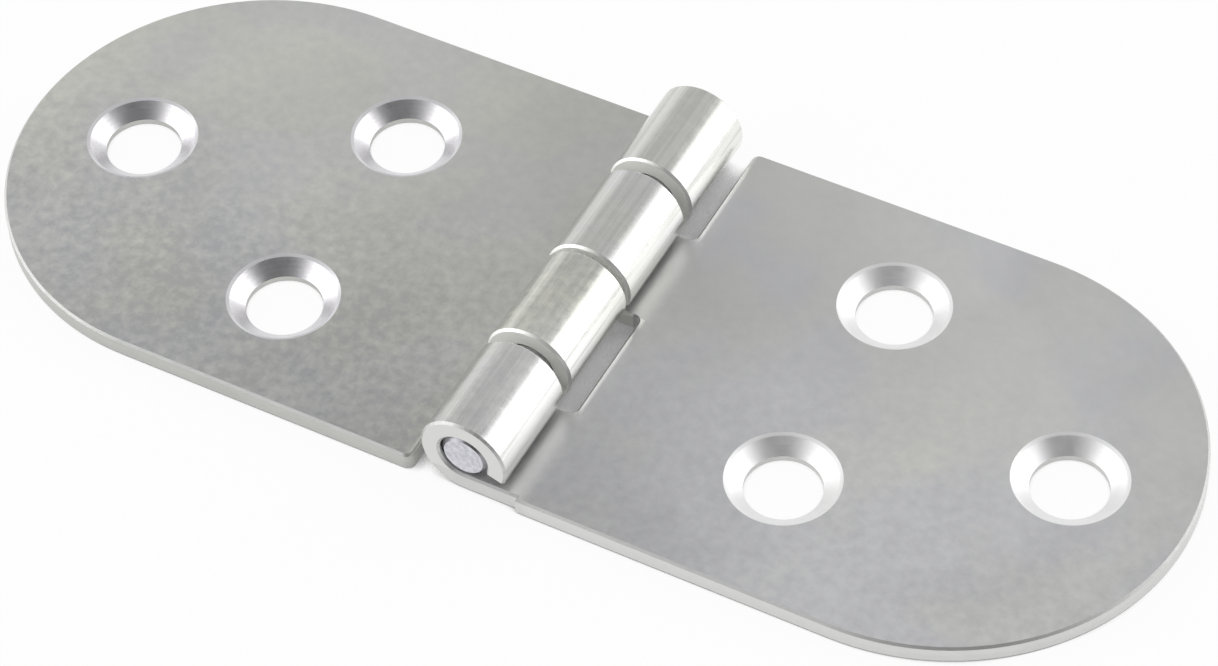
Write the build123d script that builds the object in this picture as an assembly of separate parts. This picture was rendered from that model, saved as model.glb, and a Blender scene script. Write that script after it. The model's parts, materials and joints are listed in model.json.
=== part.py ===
"""Round-ended flap hinge of zinc-plated sheet steel, open flat, with its barrel on top.

Three pieces: two leaves and the pin.  Both leaves are the same stamping, a half-round plate
with three countersunk screw holes, whose tongues run flat under the pin, roll round it and
come back down to the plate.  The right leaf is the left one turned half a turn about Z.

Frame, in millimetres: X runs along the open hinge, with the left leaf at -X.  Y runs along
the pin.  Z is up, and Z = 0 is the plane that both leaves lie on.  The origin is under the
middle of the pin.
"""
from build123d import *
from math import asin, cos, pi, sin
import os

# The open hinge, seen from above
leaf_reach = 38.0             # from the pin's axis to the tip of a leaf
leaf_width = 30.0             # along the pin
sheet_thickness = 1.2
edge_break = 0.14             # the worn bevel on the stamped edges
free_corner_radius = 0.5      # the plate's corner beside the other leaf's end knuckle

# The barrel
pin_diameter = 3.0
pin_clearance = 0.05          # all round the pin, inside the rolled knuckles
knuckles_per_leaf = 2
middle_joint = 0.35           # gap between the two knuckles at mid-length
outer_joint = 0.85            # gap at each of the other joints
barrel_setback = 0.25         # from the edge of the plate to the end of the barrel
notch_clearance = 0.65        # across the pin, from a knuckle to the other leaf's plate
notch_corner_radius = 0.4
seam_gap = 0.6                # between the end of the roll and the plate that it comes back to
pin_recess = 0.1              # from the end of the barrel to the end of the pin
pin_chamfer = 0.25

# The screw holes of a leaf
outer_hole_reach = 30.6       # from the pin's axis to the hole near the tip
inner_hole_reach = 16.2       # from the pin's axis to the pair near the barrel
inner_hole_spacing = 14.5
hole_pattern_offset = 0.43    # the pattern lies this far off the middle of the leaf's width
hole_diameter = 4.6
countersink_diameter = 6.6
countersink_depth = 0.85
rim_break = 0.1               # the worn bevel at the mouth of the countersink

# What follows from them
bore_radius = pin_diameter / 2 + pin_clearance
barrel_radius = bore_radius + sheet_thickness
axis_height = barrel_radius
notch_reach = barrel_radius + notch_clearance
barrel_length = leaf_width - 2 * barrel_setback
knuckle_count = 2 * knuckles_per_leaf


def knuckle_spans():
    """Near and far end, along the pin, of every knuckle of the barrel."""
    joints = [outer_joint] * (knuckle_count - 1)
    joints[knuckles_per_leaf - 1] = middle_joint
    length = (barrel_length - sum(joints)) / knuckle_count
    spans, near = [], -barrel_length / 2
    for joint in joints + [0]:
        spans.append((near, near + length))
        near += length + joint
    return spans


# The left leaf holds every second knuckle, the last one at the far end of the barrel
left_knuckles = knuckle_spans()[1::2]


def block(x_from, x_to, y_from, y_to):
    """A rectangle between two places along X and two along Y."""
    centre = Pos((x_from + x_to) / 2, (y_from + y_to) / 2)
    return centre * Rectangle(x_to - x_from, y_to - y_from)


def plate_outline():
    """The flat part of the left leaf from above: a half-round plate and its tongues."""
    half_width = leaf_width / 2
    tip = Pos(half_width - leaf_reach, 0) * Circle(half_width)
    outline = tip + block(half_width - leaf_reach, -notch_reach, -half_width, half_width)
    for near, far in left_knuckles:
        outline += block(-notch_reach, 0, near, far)

    # Each tongue meets the plate in a rounded corner, except where it is nearly flush with it
    outer_side = left_knuckles[-1][1]
    corners = outline.vertices().filter_by_position(Axis.X, -notch_reach, -notch_reach)
    inner_corners = corners.filter_by_position(
        Axis.Y, -half_width, outer_side, inclusive=(False, False)
    )
    outline = fillet(inner_corners, notch_corner_radius)
    free_corner = outline.vertices().sort_by_distance((-notch_reach, -half_width))[0]
    return fillet(free_corner, free_corner_radius)


def countersunk_hole():
    """What a drill and a countersink take out of the plate, with its mouth at Z = 0."""
    drill, mouth = hole_diameter / 2, countersink_diameter / 2
    profile = Polyline(
        (0, -2 * sheet_thickness),
        (drill, -2 * sheet_thickness),
        (drill, -countersink_depth),
        (mouth - rim_break, -rim_break),
        (mouth + rim_break, 0),
        (0, 0),
        close=True,
    )
    return revolve(Plane.XZ * make_face(profile), Axis.Z)


def plate():
    """The flat part of the left leaf, with broken edges and its three screw holes."""
    body = extrude(plate_outline(), sheet_thickness)
    outlines = body.edges().filter_by_position(Axis.Z, 0, 0)
    outlines += body.edges().filter_by_position(Axis.Z, sheet_thickness, sheet_thickness)
    worn = [edge for edge in outlines if edge.center().X < -edge_break]
    body = body.chamfer(edge_break, None, worn)

    holes = [(-outer_hole_reach, -hole_pattern_offset)]
    for side in (-1, 1):
        holes.append((-inner_hole_reach, side * inner_hole_spacing / 2 - hole_pattern_offset))
    for x, y in holes:
        body -= Pos(x, y, sheet_thickness) * countersunk_hole()
    return body


def rolled_knuckle(near, far):
    """The sheet rolled round the pin, from under the axis, round the far side and back down."""
    end_height = sheet_thickness + seam_gap - axis_height
    end_angle = pi - asin(end_height / barrel_radius)
    reach = 2 * barrel_radius
    mouth = Polygon(
        (0, 0),
        (reach * cos(end_angle), reach * sin(end_angle)),
        (-reach, -reach),
        (0, -reach),
        align=None,
    )
    section = Circle(barrel_radius) - Circle(bore_radius) - mouth
    roll = extrude(Plane.XZ * section, -(far - near))
    roll = roll.chamfer(edge_break, None, roll.edges().filter_by(GeomType.CIRCLE))
    return Pos(0, near, axis_height) * roll


def left_leaf():
    leaf = plate()
    for near, far in left_knuckles:
        leaf += rolled_knuckle(near, far)
    return leaf


def hinge_pin():
    pin = Cylinder(pin_diameter / 2, barrel_length - 2 * pin_recess)
    pin = pin.chamfer(pin_chamfer, None, pin.edges().filter_by(GeomType.CIRCLE))
    return Pos(0, 0, axis_height) * Rot(90, 0, 0) * pin


left = left_leaf()
pieces = {
    "left_leaf": left,
    "right_leaf": Rot(0, 0, 180) * left,
    "hinge_pin": hinge_pin(),
}

os.makedirs("parts", exist_ok=True)
for name, piece in pieces.items():
    piece.label = name
    export_step(piece, f"parts/{name}.step")
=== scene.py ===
"""Round-ended flap hinge of zinc-plated sheet steel, lying open in a small photo tent.

The leaves and the pin keep the shapes that the frame gives them.  This script gives them their
plating, and adds the floor, the tent with its two softboxes, and the camera.
"""
import bpy
import json
from math import cos, pi, radians, sin
from mathutils import Matrix, Vector

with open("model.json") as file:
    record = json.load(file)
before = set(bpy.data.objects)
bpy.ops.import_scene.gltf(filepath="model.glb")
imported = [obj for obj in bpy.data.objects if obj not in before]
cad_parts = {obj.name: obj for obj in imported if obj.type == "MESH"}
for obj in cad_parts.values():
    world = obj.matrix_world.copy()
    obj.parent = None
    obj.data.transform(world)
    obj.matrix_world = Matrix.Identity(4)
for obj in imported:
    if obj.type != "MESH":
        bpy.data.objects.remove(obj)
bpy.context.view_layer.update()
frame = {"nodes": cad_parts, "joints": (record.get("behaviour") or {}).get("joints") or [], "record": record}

MM = 0.001
WHITE = (1.0, 1.0, 1.0, 1.0)

# The hinge, where a finish depends on its shape
PIN_HEIGHT = frame["joints"][0]["pos_m"][2]     # also the barrel's radius
BARREL_END = 14.75 * MM          # half the barrel's length
LEAF_TOP = 1.2 * MM              # the sheet's thickness
NOTCH_REACH = 3.4 * MM           # from the pin's axis to the plate
FIRST_NOTCH_END = -7.04 * MM     # the notches of the left leaf, along the pin
SECOND_NOTCH = (-0.175 * MM, 7.89 * MM)
COUNTERSINK_RADIUS = 3.45 * MM   # just past the worn rim of its mouth

# The camera, from the photograph
PHOTO_WIDTH = 1218
FOCAL_LENGTH = 4170.6            # in pixels of the photograph
VIEW_AZIMUTH = 30.23             # degrees, from the pin's near end towards the right leaf
VIEW_ELEVATION = 48.95
VIEW_ROLL = -2.76
VIEW_DISTANCE = 244.3 * MM
VIEW_TARGET = Vector((1.683, -0.603, -0.2)) * MM
SENSOR_WIDTH = 36.0
NEAREST_SEEN = 10 * MM           # what is nearer than this is cut off

# The paper that the hinge lies on
PAPER_SIZE = 4.0
PAPER_DROP = 0.02 * MM           # below the leaves, so that no two faces share a plane
PAPER_COLOUR = (0.94, 0.94, 0.94, 1.0)
PAPER_GLOW = 0.94                # the share of even white that the camera and the metal see
GAP_REACH = 5 * MM               # how near a leaf has to be for the painted shade to turn the paper grey
GAP_OPENNESS = (0.30, 0.46)      # the paper is grey below the first and white above the second
GAP_LIGHT = 0.24

# The tent, in metres from the hinge: to the camera's right, away from the camera, and up
TENT_RIGHT = Vector((cos(radians(VIEW_AZIMUTH)), sin(radians(VIEW_AZIMUTH)), 0.0))
TENT_AWAY = Vector((-sin(radians(VIEW_AZIMUTH)), cos(radians(VIEW_AZIMUTH)), 0.0))
TENT_UP = Vector((0.0, 0.0, 1.0))
SOFTBOX_DISTANCE = 0.60
SOFTBOX_NEAR, SOFTBOX_FAR = -0.42, 0.50
SOFTBOX_HEIGHT = 0.52
SOFTBOX_RADIANCE = 1.45

# How brightly the sides of the tent's cloth are lit.  Each pair says how much of a direction
# goes up, sideways or to the dark side where the light begins and ends its change.
CLOTH_COLOUR = (0.8, 0.8, 0.8, 1.0)
TENT_LIGHT = 0.90
TENT_FOOT_LIGHT = 1.35           # behind the hinge, down where the cloth meets the paper
TENT_FOOT_RISE = (0.25, 0.45)
TENT_SIDE_LIGHT = 1.15           # above the softboxes
TENT_SIDE_REACH = (0.56, 0.80)
DARK_SIDE_LIGHT = 0.20           # where the camera stands
DARK_SIDE_REACH = (0.12, 0.55)
DARK_SIDE_TURN = 16.0            # degrees, from the camera towards its right

# The plating of each leaf: its mottling; how much darker it is towards the rolled side, which is painted
# shade, and along the near edge; the finish of its countersinks and cut edges, painted lighter on the right
# leaf to stand in for the light they catch; and how much painted light brightens the plate at the foot of
# its own knuckles
LEFT_PLATING = {
    "mottling": {
        "Light zinc": (0.704, 0.710, 0.652, 1.0),
        "Dark zinc": (0.542, 0.544, 0.526, 1.0),
        "Patchiness": 0.9,
        "Wrinkle": 1.1,
    },
    "darkening depth": {"Rolled side": 0.12, "Near edge": 0.12},
    "cone colour": (0.70, 0.69, 0.71, 1.0),
    "cone roughness": -0.06,
    "cut colour": (0.56, 0.56, 0.54, 1.0),
    "foot painted light": 0.0,
}
RIGHT_PLATING = {
    "mottling": {
        "Light zinc": (0.710, 0.710, 0.682, 1.0),
        "Dark zinc": (0.564, 0.564, 0.562, 1.0),
        "Patchiness": 0.9,
        "Wrinkle": 0.6,
    },
    "darkening depth": {"Rolled side": 0.12, "Near edge": 0.10},
    # Painted lighter than the left leaf's, standing in for the light that these countersinks and cut edges
    # catch
    "cone colour": (0.88, 0.88, 0.88, 1.0),
    "cone roughness": 0.12,
    "cut colour": (0.70, 0.70, 0.69, 1.0),
    "foot painted light": 0.42,
}

# What both leaves share
PATCH_DEPTH, WRINKLE_DEPTH = 0.30, 3.4
DARKENING_WANDER = 6 * MM          # how far the edge of a darkened part strays
LINES_ROUND, LINES_ALONG = 9.0, 40.0        # to the radian round the barrel, to the metre along it
TEAR_LOW, TEAR_HIGH = 0.35 * MM, 0.85 * MM  # how high the torn part of a cut reaches
BARREL_FOOT_REACH = (2.7 * MM, 4.4 * MM)    # from the pin's axis, where the foot fades out
DIE_ROLL_WIDTH = 0.40 * MM       # of the edge that the press drew down along a notch
TOOL_RING_PITCH = 0.23 * MM      # of the rings in a countersink
SHEET_ROUGHNESS = 0.36
BLUISH_TINT = (0.960, 0.962, 1.015, 1.0)
ROLLED_TINT = (1.0, 1.0, 0.97, 1.0)
# Painted light on the plate at the foot of a leaf's own knuckles
FOOT_PAINTED_LIGHT_ZINC = (0.94, 0.94, 0.92, 1.0)
STREAKED_ZINC = (0.62, 0.62, 0.60, 1.0)
FLANK_HIGHLIGHT_ZINC = (0.92, 0.92, 0.89, 1.0)
FLANK_HIGHLIGHT_COVER = 0.85             # how far the painted highlight covers the plating on a knuckle's flanks
# A painted highlight along the edges of the notches
NOTCH_EDGE_HIGHLIGHT_ZINC = (0.90, 0.90, 0.88, 1.0)
NOTCH_EDGE_HIGHLIGHT_COVER = 0.8
WORN_BEVEL_ZINC = (0.58, 0.58, 0.57, 1.0)
# Painted light on the knuckles' end faces inside the barrel's joints, where they lie in shade
JOINT_FACE_PAINTED_LIGHT_ZINC = (0.95, 0.95, 0.93, 1.0)

# The pin's wire: its dark and light lines, and the painted shade on the rim of its cropped ends
WIRE_SIDE = ((0.60, 0.60, 0.60, 1.0), (0.72, 0.72, 0.72, 1.0))
WIRE_END = ((0.54, 0.54, 0.58, 1.0), (0.70, 0.70, 0.74, 1.0))
WIRE_RIM_SHADE = (0.32, 0.32, 0.34, 1.0)

BUMP_HEIGHT = 0.01 * MM          # what a bump of 1 stands for
VECTOR, COLOUR, VALUE = "NodeSocketVector", "NodeSocketColor", "NodeSocketFloat"


# Nodes

def node(tree, kind, **settings):
    """A new node with some of its settings."""
    made = tree.nodes.new(kind)
    for name, value in settings.items():
        setattr(made, name, value)
    return made


def feed(tree, source, socket):
    """Link a socket to another one, or give it a constant value."""
    if isinstance(source, bpy.types.NodeSocket):
        tree.links.new(source, socket)
    else:
        socket.default_value = source


def maths(tree, operation, *terms, clamp=False):
    """The result of a Math node on sockets and numbers."""
    made = node(tree, "ShaderNodeMath", operation=operation, use_clamp=clamp)
    for term, socket in zip(terms, made.inputs):
        feed(tree, term, socket)
    return made.outputs[0]


def product(tree, result, *factors):
    """The product of sockets and numbers."""
    for factor in factors:
        result = maths(tree, "MULTIPLY", result, factor)
    return result


def added_up(tree, total, parts):
    """A total with sockets added to it, each times its own number."""
    for socket, share in parts:
        total = maths(tree, "MULTIPLY_ADD", socket, share, total)
    return total


def inverse(tree, mask):
    """0 where a mask is 1, and 1 where it is 0."""
    return maths(tree, "SUBTRACT", 1.0, mask)


def unsigned(tree, value):
    return maths(tree, "ABSOLUTE", value)


def ramp(tree, value, low, high, to_low=0.0, to_high=1.0):
    """A smooth step from one value to another while the input goes from low to high."""
    made = node(tree, "ShaderNodeMapRange", interpolation_type="SMOOTHSTEP")
    given = {
        "Value": value,
        "From Min": low,
        "From Max": high,
        "To Min": to_low,
        "To Max": to_high,
    }
    for name, source in given.items():
        feed(tree, source, made.inputs[name])
    return made.outputs[0]


def fall(tree, value, low, high):
    """A smooth step down from 1 to 0 while the input goes from low to high."""
    return ramp(tree, value, low, high, to_low=1.0, to_high=0.0)


def split(tree, vector):
    """The X, Y and Z of a vector."""
    axes = node(tree, "ShaderNodeSeparateXYZ")
    feed(tree, vector, axes.inputs[0])
    return axes.outputs


def part_along(tree, vector, direction):
    """How far a vector goes in a direction."""
    dot = node(tree, "ShaderNodeVectorMath", operation="DOT_PRODUCT")
    feed(tree, vector, dot.inputs[0])
    dot.inputs[1].default_value = direction
    return dot.outputs["Value"]


def scaled(tree, vector, factor):
    """A vector or a colour times a number."""
    made = node(tree, "ShaderNodeVectorMath", operation="SCALE")
    feed(tree, vector, made.inputs[0])
    feed(tree, factor, made.inputs["Scale"])
    return made.outputs[0]


def noise(tree, vector, scale, detail=3.0, roughness=0.5, output="Fac"):
    """Soft noise.  On a place in metres, its scale is in features to the metre."""
    made = node(tree, "ShaderNodeTexNoise")
    made.inputs["Scale"].default_value = scale
    made.inputs["Detail"].default_value = detail
    made.inputs["Roughness"].default_value = roughness
    feed(tree, vector, made.inputs["Vector"])
    return made.outputs[output]


def blend_colour(tree, factor, first, second, kind="MIX"):
    made = node(tree, "ShaderNodeMix", data_type="RGBA", blend_type=kind)
    for source, number in ((factor, 0), (first, 6), (second, 7)):
        feed(tree, source, made.inputs[number])
    return made.outputs[2]


def mix_shaders(tree, factor, first, second):
    made = node(tree, "ShaderNodeMixShader")
    for source, socket in zip((factor, first, second), made.inputs):
        feed(tree, source, socket)
    return made.outputs[0]


# Camera, floor and light

def add_camera():
    elevation, roll = radians(VIEW_ELEVATION), radians(VIEW_ROLL)
    back = sin(elevation) * TENT_UP - cos(elevation) * TENT_AWAY
    upright = back.cross(TENT_RIGHT)
    right = cos(roll) * TENT_RIGHT + sin(roll) * upright
    up = back.cross(right)
    data = bpy.data.cameras.new("product_camera")
    data.sensor_width = SENSOR_WIDTH
    data.lens = FOCAL_LENGTH * SENSOR_WIDTH / PHOTO_WIDTH
    data.clip_start = NEAREST_SEEN
    camera = bpy.data.objects.new("product_camera", data)
    bpy.context.scene.collection.objects.link(camera)
    turn = Matrix((right, up, back)).transposed()
    camera.matrix_world = Matrix.Translation(VIEW_TARGET + VIEW_DISTANCE * back) @ turn.to_4x4()
    bpy.context.scene.camera = camera


def white_paper():
    """Paper that looks white to the camera and in the metal, with painted shade that turns it grey in the
    tightest gaps.
    """
    material = bpy.data.materials.new("white_paper")
    material.use_nodes = True
    tree = material.node_tree
    tree.nodes.clear()
    paper = node(tree, "ShaderNodeBsdfDiffuse")
    paper.inputs["Color"].default_value = PAPER_COLOUR
    gap = node(tree, "ShaderNodeAmbientOcclusion", samples=8)
    gap.inputs["Distance"].default_value = GAP_REACH
    glow = node(tree, "ShaderNodeEmission")
    # Painted shade: the paper's glow is dimmed where the leaves close over it
    light = ramp(tree, gap.outputs["AO"], *GAP_OPENNESS, to_low=GAP_LIGHT)
    feed(tree, light, glow.inputs["Strength"])
    path = node(tree, "ShaderNodeLightPath")
    seen = maths(tree, "MAXIMUM", path.outputs["Is Camera Ray"], path.outputs["Is Glossy Ray"])
    seen = maths(tree, "MAXIMUM", seen, path.outputs["Is Transmission Ray"])
    share = product(tree, seen, PAPER_GLOW)
    out = node(tree, "ShaderNodeOutputMaterial")
    feed(tree, mix_shaders(tree, share, paper.outputs[0], glow.outputs[0]), out.inputs["Surface"])
    return material


def add_floor():
    bpy.ops.object.select_all(action="DESELECT")
    bpy.ops.mesh.primitive_plane_add(size=PAPER_SIZE, location=(0, 0, -PAPER_DROP))
    floor = bpy.context.object
    floor.name = "paper_floor"
    floor.data.materials.append(white_paper())


def add_tent():
    """Grey cloth all round, darker where the camera stands, and plain white to the camera."""
    world = bpy.data.worlds.new("photo_tent")
    bpy.context.scene.world = world
    world.use_nodes = True
    tree = world.node_tree
    tree.nodes.clear()
    direction = node(tree, "ShaderNodeTexCoord").outputs["Generated"]
    turn = radians(DARK_SIDE_TURN)
    dark_side = sin(turn) * TENT_RIGHT - cos(turn) * TENT_AWAY
    rise = part_along(tree, direction, TENT_UP)
    sideways = unsigned(tree, part_along(tree, direction, TENT_RIGHT))
    darkwards = part_along(tree, direction, dark_side)
    light = ramp(tree, rise, *TENT_FOOT_RISE, TENT_FOOT_LIGHT, TENT_LIGHT)
    light = ramp(tree, sideways, *TENT_SIDE_REACH, light, TENT_SIDE_LIGHT)
    light = ramp(tree, darkwards, *DARK_SIDE_REACH, light, DARK_SIDE_LIGHT)
    cloth = node(tree, "ShaderNodeBackground")
    cloth.inputs["Color"].default_value = CLOTH_COLOUR
    feed(tree, light, cloth.inputs["Strength"])
    white = node(tree, "ShaderNodeBackground")
    white.inputs["Color"].default_value = WHITE
    seen = node(tree, "ShaderNodeLightPath").outputs["Is Camera Ray"]
    out = node(tree, "ShaderNodeOutputWorld")
    feed(tree, mix_shaders(tree, seen, cloth.outputs[0], white.outputs[0]), out.inputs["Surface"])


def add_softbox(name, side):
    """An upright softbox that stands on the paper, at the right (1) or the left (-1)."""
    length = SOFTBOX_FAR - SOFTBOX_NEAR
    data = bpy.data.lights.new(name, "AREA")
    data.shape = "RECTANGLE"
    data.size, data.size_y = length, SOFTBOX_HEIGHT
    data.energy = SOFTBOX_RADIANCE * length * SOFTBOX_HEIGHT * pi
    lamp = bpy.data.objects.new(name, data)
    bpy.context.scene.collection.objects.link(lamp)
    outward = side * TENT_RIGHT
    centre = (
        SOFTBOX_DISTANCE * outward
        + (SOFTBOX_NEAR + SOFTBOX_FAR) / 2 * TENT_AWAY
        + SOFTBOX_HEIGHT / 2 * TENT_UP
    )
    turn = Matrix((TENT_UP.cross(outward), TENT_UP, outward)).transposed()
    lamp.matrix_world = Matrix.Translation(centre) @ turn.to_4x4()


# What the finishes are made of

def new_group(name, inputs, outputs):
    """An empty shader node group, with the sockets inside it that give and take its values."""
    tree = bpy.data.node_groups.new(name, "ShaderNodeTree")
    for label, kind in inputs.items():
        tree.interface.new_socket(label, in_out="INPUT", socket_type=kind)
    for label, kind in outputs.items():
        tree.interface.new_socket(label, in_out="OUTPUT", socket_type=kind)
    return tree, tree.nodes.new("NodeGroupInput").outputs, tree.nodes.new("NodeGroupOutput").inputs


def mottle_group():
    """Zinc that has passivated unevenly: soft patches, warm and cool, with a fine wrinkle."""
    tree, given, result = new_group(
        "passivated_zinc",
        {
            "Vector": VECTOR,
            "Light zinc": COLOUR,
            "Dark zinc": COLOUR,
            "Patchiness": VALUE,
            "Wrinkle": VALUE,
        },
        {"Color": COLOUR, "Height": VALUE},
    )
    vector = given["Vector"]
    _, y, _ = split(tree, vector)
    clouds = noise(tree, vector, scale=60.0, roughness=0.55)
    clouds = ramp(tree, clouds, 0.34, 0.66, to_low=0.25, to_high=0.75)
    patches = noise(tree, vector, scale=300.0)
    patches = ramp(tree, patches, 0.30, 0.70, to_low=-0.5, to_high=0.5)
    wrinkle = maths(tree, "SUBTRACT", noise(tree, vector, scale=1500.0, roughness=0.62), 0.5)

    # The spots are stronger towards the near edge
    spots = maths(
        tree,
        "ADD",
        product(tree, patches, PATCH_DEPTH, given["Patchiness"]),
        product(tree, wrinkle, WRINKLE_DEPTH, given["Wrinkle"]),
    )
    strength = ramp(tree, y, -10 * MM, 9 * MM, to_low=0.75, to_high=0.22)
    lightness = maths(tree, "ADD", clouds, product(tree, spots, strength), clamp=True)
    zinc = blend_colour(tree, lightness, given["Dark zinc"], given["Light zinc"])

    # So is the bluish tint
    near = ramp(tree, y, -14 * MM, 0.0, to_low=0.12, to_high=0.0)
    tint = ramp(tree, maths(tree, "ADD", noise(tree, vector, scale=110.0), near), 0.44, 0.64)
    bluish = blend_colour(tree, 1.0, zinc, BLUISH_TINT, "MULTIPLY")
    feed(tree, blend_colour(tree, tint, zinc, bluish), result["Color"])
    feed(tree, wrinkle, result["Height"])
    return tree


def darkening_group():
    """Painted shade that darkens a leaf towards its rolled side, and how far it is darker along its near
    edge.
    """
    tree, given, result = new_group(
        "barrel_shade_and_near_edge_darkening",
        {"Vector": VECTOR, "Rolled side": VALUE, "Near edge": VALUE},
        {"Tone": VALUE},
    )
    wandering = node(tree, "ShaderNodeVectorMath", operation="MULTIPLY_ADD")
    wander = noise(tree, given["Vector"], scale=90.0, detail=2.0, output="Color")
    feed(tree, wander, wandering.inputs[0])
    wandering.inputs[1].default_value = (DARKENING_WANDER, DARKENING_WANDER, 0.0)
    feed(tree, given["Vector"], wandering.inputs[2])
    x, y, _ = split(tree, wandering.outputs[0])
    # Painted shade: the leaf grows darker towards the barrel
    rolled = fall(tree, unsigned(tree, x), 4 * MM, 22 * MM)

    # The near edge is darker only as far as the middle of the right leaf
    near = product(tree, fall(tree, y, -11 * MM, 4 * MM), fall(tree, x, 10 * MM, 26 * MM))
    tone = maths(tree, "SUBTRACT", 1.0, product(tree, rolled, given["Rolled side"]))
    tone = maths(tree, "SUBTRACT", tone, product(tree, near, given["Near edge"]))
    feed(tree, tone, result["Tone"])
    return tree


def barrel_group():
    """The rolled knuckles, their drawing lines and flanks, and the plate at the barrel's foot."""
    tree, given, result = new_group(
        "rolled_barrel",
        {"Vector": VECTOR, "Normal": VECTOR},
        {"Lines": VALUE, "Barrel": VALUE, "Flank": VALUE, "Foot": VALUE},
    )
    x, y, z = split(tree, given["Vector"])
    normal_x, _, _ = split(tree, given["Normal"])

    # The lines run along the barrel, so they change much faster round it
    turn = maths(tree, "ARCTAN2", maths(tree, "SUBTRACT", z, PIN_HEIGHT), x)
    unrolled = node(tree, "ShaderNodeCombineXYZ")
    feed(tree, product(tree, turn, LINES_ROUND), unrolled.inputs["X"])
    feed(tree, product(tree, y, LINES_ALONG), unrolled.inputs["Y"])
    lines = noise(tree, unrolled.outputs[0], scale=1.0, detail=4.0, roughness=0.65)
    feed(tree, lines, result["Lines"])

    from_axis = unsigned(tree, x)
    above_plate = (LEAF_TOP + 0.05 * MM, LEAF_TOP + 0.1 * MM)
    over_pin = fall(tree, from_axis, PIN_HEIGHT, PIN_HEIGHT + 0.15 * MM)
    barrel = product(tree, over_pin, ramp(tree, z, *above_plate))
    feed(tree, barrel, result["Barrel"])
    steep = ramp(tree, unsigned(tree, normal_x), 0.62, 0.95)
    feed(tree, product(tree, barrel, steep), result["Flank"])
    beside = fall(tree, from_axis, *BARREL_FOOT_REACH)
    feed(tree, product(tree, beside, fall(tree, z, *above_plate)), result["Foot"])
    return tree


def cut_edge_group():
    """What the press cut, with its torn lower part, its worn bevels and the knuckles' ends."""
    tree, given, result = new_group(
        "sheared_edge",
        {"Vector": VECTOR, "Normal": VECTOR},
        {"Cut": VALUE, "Torn": VALUE, "Worn": VALUE, "Joint face": VALUE, "End bevel": VALUE},
    )
    x, y, z = split(tree, given["Vector"])
    _, normal_y, normal_z = split(tree, given["Normal"])
    upwards = unsigned(tree, normal_z)
    lengthwise = unsigned(tree, normal_y)
    plate = ramp(tree, unsigned(tree, x), PIN_HEIGHT + 0.1 * MM, PIN_HEIGHT + 0.2 * MM)

    upright = fall(tree, upwards, 0.4, 0.6)
    end_face = ramp(tree, lengthwise, 0.8, 0.9)
    cut = product(tree, upright, maths(tree, "MAXIMUM", plate, end_face))
    feed(tree, cut, result["Cut"])

    # The sheet tore where the cut was half through, along an uneven line
    ragged = noise(tree, given["Vector"], scale=900.0, detail=2.0, roughness=0.55)
    tear_top = maths(tree, "MULTIPLY_ADD", ragged, TEAR_HIGH - TEAR_LOW, TEAR_LOW)
    torn = ramp(tree, maths(tree, "SUBTRACT", tear_top, z), -0.05 * MM, 0.05 * MM)
    feed(tree, product(tree, torn, plate, upright), result["Torn"])

    # On a 45 degree bevel, the normal has 0.71 of its length in each of two directions
    bevel = product(tree, ramp(tree, upwards, 0.60, 0.66), fall(tree, upwards, 0.74, 0.80))
    feed(tree, product(tree, bevel, plate), result["Worn"])
    knuckle_end = product(tree, ramp(tree, lengthwise, 0.60, 0.75), inverse(tree, plate))
    in_joint = fall(tree, unsigned(tree, y), BARREL_END - 0.5 * MM, BARREL_END - 0.3 * MM)
    feed(tree, product(tree, knuckle_end, in_joint), result["Joint face"])
    sloping = fall(tree, lengthwise, 0.76, 0.84)
    feed(tree, product(tree, knuckle_end, sloping), result["End bevel"])
    return tree


def die_roll_group():
    """The notches of a leaf, their edge that the press drew down, and the sheet's height there."""
    tree, given, result = new_group(
        "die_roll",
        {"Vector": VECTOR},
        {"Height": VALUE, "Edge": VALUE, "Notched": VALUE},
    )
    x, y, _ = split(tree, given["Vector"])
    first = maths(tree, "LESS_THAN", y, FIRST_NOTCH_END)
    second = product(
        tree,
        maths(tree, "GREATER_THAN", y, SECOND_NOTCH[0]),
        maths(tree, "LESS_THAN", y, SECOND_NOTCH[1]),
    )
    notched = maths(tree, "MAXIMUM", first, second)
    inward = maths(tree, "SUBTRACT", unsigned(tree, x), NOTCH_REACH)
    edge = product(tree, fall(tree, inward, 0.0, DIE_ROLL_WIDTH), notched)
    feed(tree, notched, result["Notched"])
    feed(tree, edge, result["Edge"])
    feed(tree, inverse(tree, edge), result["Height"])
    return tree


def left_leaf_holes():
    """Where the three screw holes of the left leaf are, from its mounts."""
    mounts = {mount["name"]: mount for mount in frame["record"]["mounts"]}
    outer_x, outer_y, _ = mounts["left_tip_hole"]["pos_m"]
    inner_x, inner_y, _ = mounts["left_inner_holes"]["pos_m"]
    aside = mounts["left_inner_holes"]["dims"]["spacing_y_mm"] * MM / 2
    return [(outer_x, outer_y), (inner_x, inner_y - aside), (inner_x, inner_y + aside)]


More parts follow.
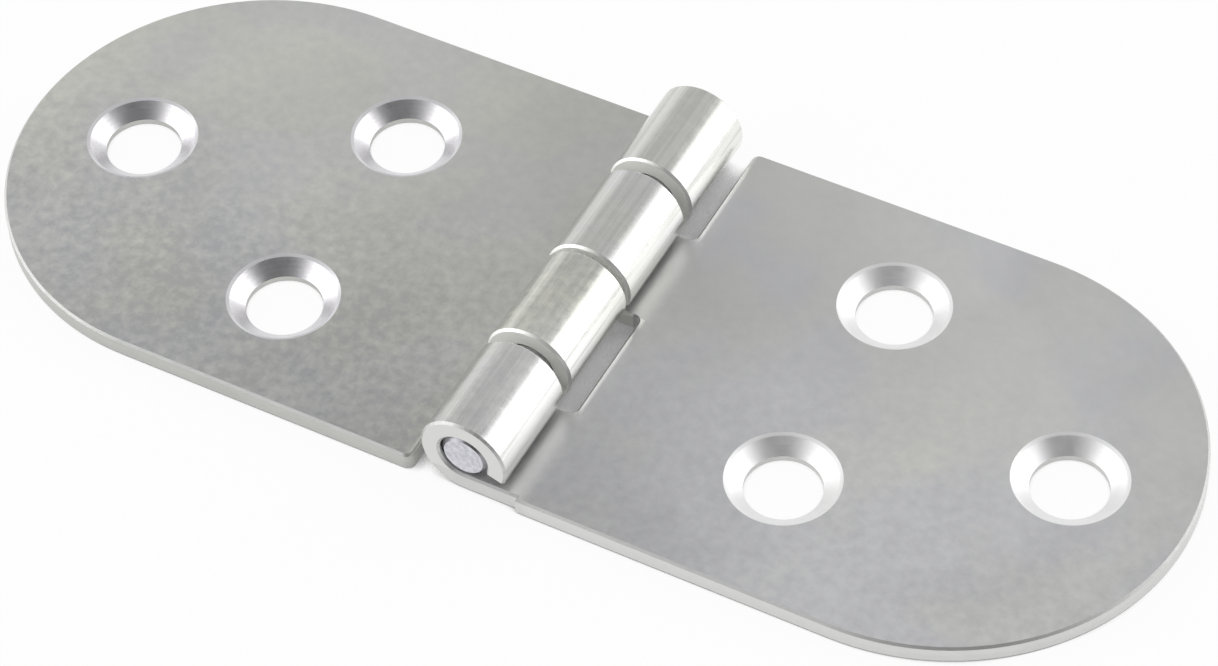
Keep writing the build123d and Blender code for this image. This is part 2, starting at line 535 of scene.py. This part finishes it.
def countersink_group():
    """The mask of the three countersinks of a leaf, and the rings that the tool left there."""
    tree, given, result = new_group(
        "countersink_rings",
        {"Vector": VECTOR, "Normal": VECTOR},
        {"Cone": VALUE, "Rings": VALUE},
    )
    flat = node(tree, "ShaderNodeVectorMath", operation="MULTIPLY")
    flat.inputs[1].default_value = (1.0, 1.0, 0.0)
    feed(tree, given["Vector"], flat.inputs[0])
    distances = []
    for x, y in left_leaf_holes():
        reach = node(tree, "ShaderNodeVectorMath", operation="DISTANCE")
        feed(tree, flat.outputs[0], reach.inputs[0])
        reach.inputs[1].default_value = (x, y, 0.0)
        distances.append(reach.outputs["Value"])
    nearest = distances[0]
    for distance in distances[1:]:
        nearest = maths(tree, "MINIMUM", nearest, distance)
    _, _, normal_z = split(tree, given["Normal"])
    sloping = fall(tree, unsigned(tree, normal_z), 0.9, 0.97)
    inside = fall(tree, nearest, COUNTERSINK_RADIUS, COUNTERSINK_RADIUS + 0.02 * MM)
    feed(tree, product(tree, sloping, inside), result["Cone"])
    rings = maths(tree, "SINE", product(tree, nearest, 2 * pi / TOOL_RING_PITCH))
    feed(tree, rings, result["Rings"])
    return tree


def group_node(tree, group, values):
    """A group placed in a material with its own values; it returns what the group puts out."""
    made = node(tree, "ShaderNodeGroup", node_tree=group)
    for name, value in values.items():
        feed(tree, value, made.inputs[name])
    return made.outputs


# Finishes

def plain_metal(name):
    """A material for a finish, with its nodes and its shader."""
    material = bpy.data.materials.new(name)
    material.use_nodes = True
    shader = material.node_tree.nodes["Principled BSDF"]
    shader.inputs["Metallic"].default_value = 1.0
    return material, material.node_tree, shader


def emboss(tree, shader, height, strength):
    bump = node(tree, "ShaderNodeBump")
    bump.inputs["Strength"].default_value = strength
    bump.inputs["Distance"].default_value = BUMP_HEIGHT
    feed(tree, height, bump.inputs["Height"])
    feed(tree, bump.outputs[0], shader.inputs["Normal"])


def zinc_plated_sheet(name, groups, plating, turned):
    """The finish of one leaf; turned says that the leaf is the stamping turned half a turn."""
    material, tree, shader = plain_metal(name)
    coordinates = node(tree, "ShaderNodeTexCoord")
    place, normal = coordinates.outputs["Object"], coordinates.outputs["Normal"]
    stamped = place
    if turned:
        mapping = node(tree, "ShaderNodeMapping")
        mapping.inputs["Rotation"].default_value = (0.0, 0.0, pi)
        feed(tree, place, mapping.inputs["Vector"])
        stamped = mapping.outputs[0]
    surface = {"Vector": stamped, "Normal": normal}

    zinc = group_node(tree, groups["mottle"], {"Vector": place, **plating["mottling"]})
    darkening = group_node(tree, groups["darkening"], {"Vector": place, **plating["darkening depth"]})
    barrel = group_node(tree, groups["barrel"], surface)
    cut = group_node(tree, groups["cut edge"], surface)
    hole = group_node(tree, groups["countersink"], surface)
    notch = group_node(tree, groups["die roll"], {"Vector": stamped})

    # The plate, with painted shade towards the barrel and a darker near edge
    plate = scaled(tree, zinc["Color"], darkening["Tone"])
    lines = ramp(tree, barrel["Lines"], 0.36, 0.60, to_low=0.88, to_high=1.01)
    rolled = blend_colour(tree, 1.0, scaled(tree, zinc["Color"], lines), ROLLED_TINT, "MULTIPLY")
    streaks = ramp(tree, barrel["Lines"], 0.34, 0.50)
    # A painted highlight on the barrel's steep flanks, streaked along the drawing lines
    flank_highlight = blend_colour(tree, streaks, STREAKED_ZINC, FLANK_HIGHLIGHT_ZINC)
    lit_foot = product(tree, barrel["Foot"], inverse(tree, notch["Notched"]))
    # A painted highlight along the notches' edges, off their cut faces
    notch_highlight = product(tree, notch["Edge"], inverse(tree, cut["Cut"]))
    worn = product(tree, cut["Worn"], inverse(tree, hole["Cone"]), inverse(tree, notch_highlight))

    # Each layer covers those before it
    layers = (
        (barrel["Barrel"], rolled),
        # painted light on the plate at the foot of the knuckles
        (product(tree, lit_foot, plating["foot painted light"]), FOOT_PAINTED_LIGHT_ZINC),
        # painted highlight on the barrel's flanks
        (product(tree, barrel["Flank"], FLANK_HIGHLIGHT_COVER), flank_highlight),
        (hole["Cone"], plating["cone colour"]),
        (product(tree, notch_highlight, NOTCH_EDGE_HIGHLIGHT_COVER), NOTCH_EDGE_HIGHLIGHT_ZINC),
        (cut["Cut"], plating["cut colour"]),
        (worn, WORN_BEVEL_ZINC),
        # painted light on the end faces in the joints
        (cut["Joint face"], JOINT_FACE_PAINTED_LIGHT_ZINC),
    )
    colour = plate
    for mask, layer in layers:
        colour = blend_colour(tree, mask, colour, layer)
    feed(tree, colour, shader.inputs["Base Color"])

    matt = maths(tree, "MAXIMUM", cut["Joint face"], cut["End bevel"])
    rougher = (
        (zinc["Height"], 0.2),
        (barrel["Barrel"], -0.13),
        (barrel["Foot"], 0.20),
        (hole["Cone"], plating["cone roughness"]),
        (cut["Cut"], 0.12),
        (cut["Torn"], 0.08),
        (worn, 0.22),
        (matt, 0.35),
    )
    feed(tree, added_up(tree, SHEET_ROUGHNESS, rougher), shader.inputs["Roughness"])

    rings = product(tree, hole["Rings"], hole["Cone"])
    higher = ((zinc["Height"], 0.5), (rings, 0.12), (notch["Height"], 13.0))
    emboss(tree, shader, added_up(tree, 0.0, higher), strength=0.5)
    return material


def drawn_wire(name):
    """The finish of the pin, which is drawn along its length and cropped at both ends."""
    material, tree, shader = plain_metal(name)
    coordinates = node(tree, "ShaderNodeTexCoord")
    stretch = node(tree, "ShaderNodeMapping")
    stretch.inputs["Scale"].default_value = (1.0, 0.02, 1.0)
    feed(tree, coordinates.outputs["Object"], stretch.inputs["Vector"])
    lines = noise(tree, stretch.outputs[0], scale=3000.0, roughness=0.55)
    line = ramp(tree, lines, 0.3, 0.7)

    _, normal_y, _ = split(tree, coordinates.outputs["Normal"])
    lengthwise = unsigned(tree, normal_y)
    cropped = ramp(tree, lengthwise, 0.3, 0.6)
    # Painted shade on the chamfered rim of each cropped end
    rim = product(tree, cropped, fall(tree, lengthwise, 0.76, 0.84))
    side = blend_colour(tree, line, *WIRE_SIDE)
    end = blend_colour(tree, line, *WIRE_END)
    colour = blend_colour(tree, rim, blend_colour(tree, cropped, side, end), WIRE_RIM_SHADE)
    feed(tree, colour, shader.inputs["Base Color"])
    roughness = ramp(tree, lines, 0.3, 0.7, to_low=0.45, to_high=0.30)
    feed(tree, roughness, shader.inputs["Roughness"])
    emboss(tree, shader, lines, strength=0.3)
    return material


def finish_pieces():
    groups = {
        "mottle": mottle_group(),
        "darkening": darkening_group(),
        "barrel": barrel_group(),
        "cut edge": cut_edge_group(),
        "die roll": die_roll_group(),
        "countersink": countersink_group(),
    }
    finishes = {
        "left_leaf": zinc_plated_sheet("zinc_plated_left_leaf", groups, LEFT_PLATING, False),
        "right_leaf": zinc_plated_sheet("zinc_plated_right_leaf", groups, RIGHT_PLATING, True),
        "hinge_pin": drawn_wire("drawn_wire_pin"),
    }
    for piece, material in finishes.items():
        frame["nodes"][piece].data.materials[0] = material


finish_pieces()
add_camera()
add_floor()
add_tent()
add_softbox("right_softbox", 1)
add_softbox("left_softbox", -1)
bpy.context.scene.view_settings.view_transform = "Standard"
